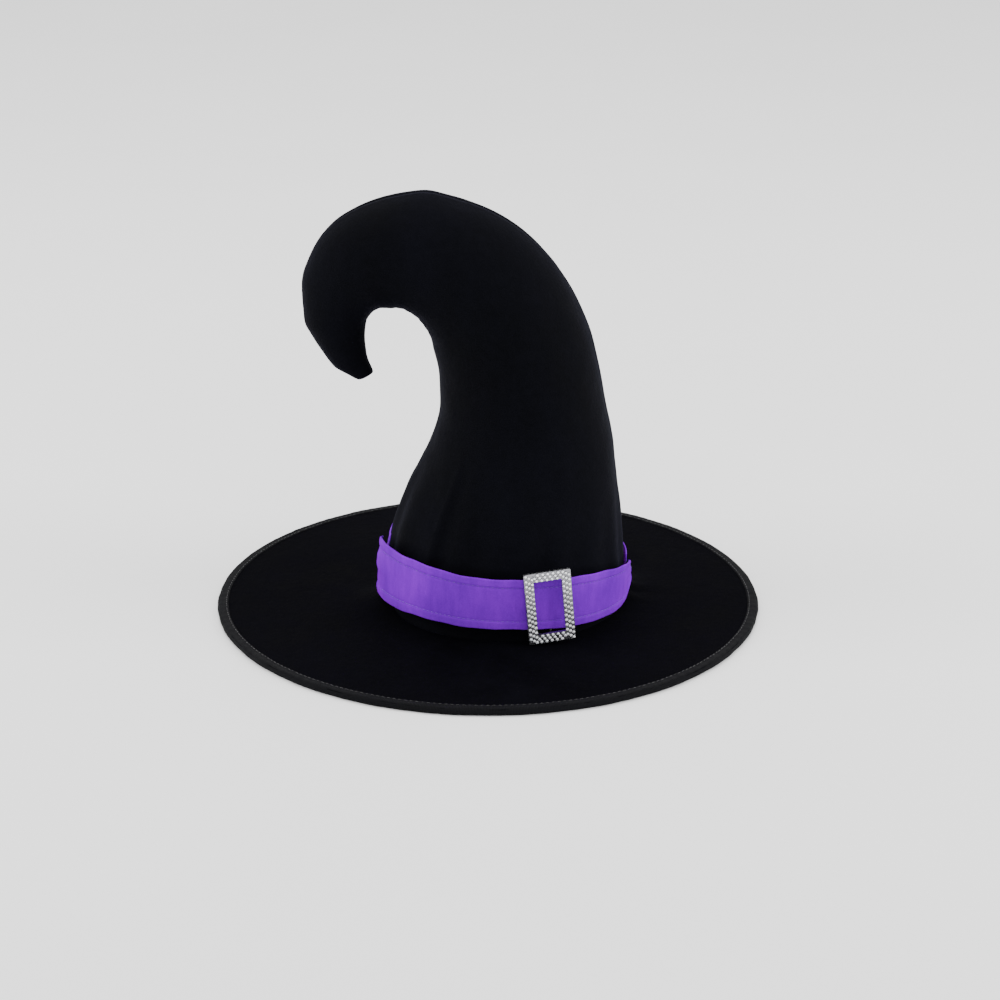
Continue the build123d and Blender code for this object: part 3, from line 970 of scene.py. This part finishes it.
def stone_template():
    """A cut stone with X up: eight crown facets round a table, and a girdle sunk in its cup."""
    sides = 8
    points = []
    for height, share, turn in ((0.15, 0.93, 0.0), (0.62, 1.0, 0.5), (0.98, 0.8, 0.0), (1.22, 0.5, 0.5)):
        radius = share * STONE_RADIUS
        for j in range(sides):
            angle = 2 * math.pi * (j + turn) / sides
            points.append((height, radius * math.cos(angle), radius * math.sin(angle)))
    faces = []
    for i in range(3):
        for j in range(sides):
            k = (j + 1) % sides
            a, b = i * sides, (i + 1) * sides
            if i % 2 == 0:
                faces += [(a + j, a + k, b + j), (a + k, b + k, b + j)]
            else:
                faces += [(a + j, a + k, b + k), (a + j, b + k, b + j)]
    faces.append(tuple(3 * sides + j for j in range(sides)))
    faces.append(tuple(reversed(range(sides))))
    return np.array(points), faces


def cup_template():
    """A small metal cup round a stone, with four claws bent over its edge."""
    sides = 16
    points = []
    rings = ((-0.1, 1.08), (0.55, 1.15), (0.7, 1.1), (0.62, 0.98), (0.1, 0.93))
    for i, (height, share) in enumerate(rings):
        radius = share * STONE_RADIUS
        for j in range(sides):
            claw = 0.34 if j % 4 == 0 and i in (2, 3) else 0.0
            angle = 2 * math.pi * (j + 2) / sides
            reach = radius - claw * 0.35
            points.append((height + claw, reach * math.cos(angle), reach * math.sin(angle)))
    return np.array(points), grid_faces(len(rings), sides, close_rows=True, close_columns=True)


def buckle_place():
    """The middle of the frame's back, and its directions outwards, across and up, as in the CAD."""
    def on_band(radius, height):
        x, y = radius * math.sin(BUCKLE_ANGLE), -radius * math.cos(BUCKLE_ANGLE)
        return np.array([
            CROWN_X + x * math.cos(BAND_TILT) + height * math.sin(BAND_TILT),
            y,
            BAND_CENTRE_Z - x * math.sin(BAND_TILT) + height * math.cos(BAND_TILT),
        ])

    middle = on_band(BUCKLE_BACK, BUCKLE_RISE)
    out = on_band(BUCKLE_BACK + 1, BUCKLE_RISE) - middle
    up = on_band(BUCKLE_BACK, BUCKLE_RISE + 1) - middle
    across = np.cross(up, out)
    turned_out = out * math.cos(BUCKLE_YAW) + across * math.sin(BUCKLE_YAW)
    turned_across = across * math.cos(BUCKLE_YAW) - out * math.sin(BUCKLE_YAW)
    across = turned_across * math.cos(BUCKLE_TWIST) + up * math.sin(BUCKLE_TWIST)
    up = up * math.cos(BUCKLE_TWIST) - turned_across * math.sin(BUCKLE_TWIST)
    return middle, turned_out, across, up


def rhinestones():
    """The stones in their cups, on the frame's front face."""
    middle, out, across, up = buckle_place()
    front = middle + out * BUCKLE_THICKNESS
    places = [place_at(front + y * across + z * up, out, across) for y, z in stone_places()]
    template, faces = stone_template()
    stones = many("rhinestones", template, faces, places)
    finish_piece(stones, BUCKLE, "clear_stone", "stone", "buckle_stones")
    template, faces = cup_template()
    cups = many("stone_cups", template, faces, places, True)
    finish_piece(cups, BUCKLE, "silver", "silver")


# ---------------------------------------------------------------- setting


def camera():
    """The photograph's view: from the front, a little above the brim."""
    data = bpy.data.cameras.new("camera")
    data.lens = CAMERA_LENS
    data.shift_x, data.shift_y = CAMERA_SHIFT
    eye = bpy.data.objects.new("camera", data)
    bpy.context.collection.objects.link(eye)
    back = Vector((0, -math.cos(CAMERA_ELEVATION), math.sin(CAMERA_ELEVATION)))
    eye.location = back * CAMERA_DISTANCE
    eye.rotation_euler = (-back).to_track_quat("-Z", "Y").to_euler()
    bpy.context.scene.camera = eye


def softbox(name, location, size, power):
    data = bpy.data.lights.new(name, "AREA")
    data.shape = "RECTANGLE"
    data.size, data.size_y = size
    data.energy = power
    lamp = bpy.data.objects.new(name, data)
    bpy.context.collection.objects.link(lamp)
    lamp.location = location
    lamp.rotation_euler = (LIGHTS_AIM - lamp.location).to_track_quat("-Z", "Y").to_euler()


def studio():
    """A pale floor, an even white surrounding and three softboxes."""
    half = FLOOR_HALF
    corners = [(-half, -half, 0), (half, -half, 0), (half, half, 0), (-half, half, 0)]
    floor = new_piece("floor", np.array(corners) / MM, [(0, 1, 2, 3)], False)
    surface = Nodes("pale_floor")
    grain = surface.noise(surface.place(), 3.0, 2.0, 0.5)
    surface.link(surface.ramp(grain, ((0.3, shade(0.92)), (0.7, shade(0.94)))),
                 surface.shader.inputs["Base Color"])
    surface.set(Roughness=0.9, Specular_IOR_Level=0.1)
    floor.data.materials.append(surface.material)
    world = bpy.data.worlds.new("studio")
    world.use_nodes = True
    background = world.node_tree.nodes["Background"]
    background.inputs["Color"].default_value = (1.0, 1.0, 1.0, 1)
    background.inputs["Strength"].default_value = WORLD_STRENGTH
    bpy.context.scene.world = world
    for box in SOFTBOXES:
        softbox(*box)


def keep_cad_parts():
    """CAD parts whose shape is right get their final material."""
    for node, material in (
        ("brim_stiffener", "board"),
        ("brim_wire", "hoop"),
        ("brim_wire_sleeve", "hoop"),
        ("buckle_frame", "silver"),
        ("buckle_centre_bar", "silver"),
    ):
        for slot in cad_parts[node].material_slots:
            slot.material = MATERIALS[material]


camera()
studio()
keep_cad_parts()
crown_velvet()
crown_foam()
crown_filling()
head_lining()
sweat_band()
brim_top()
brim_under()
edge_binding()
band_front()
band_rear()
band_tacks()
rhinestones()
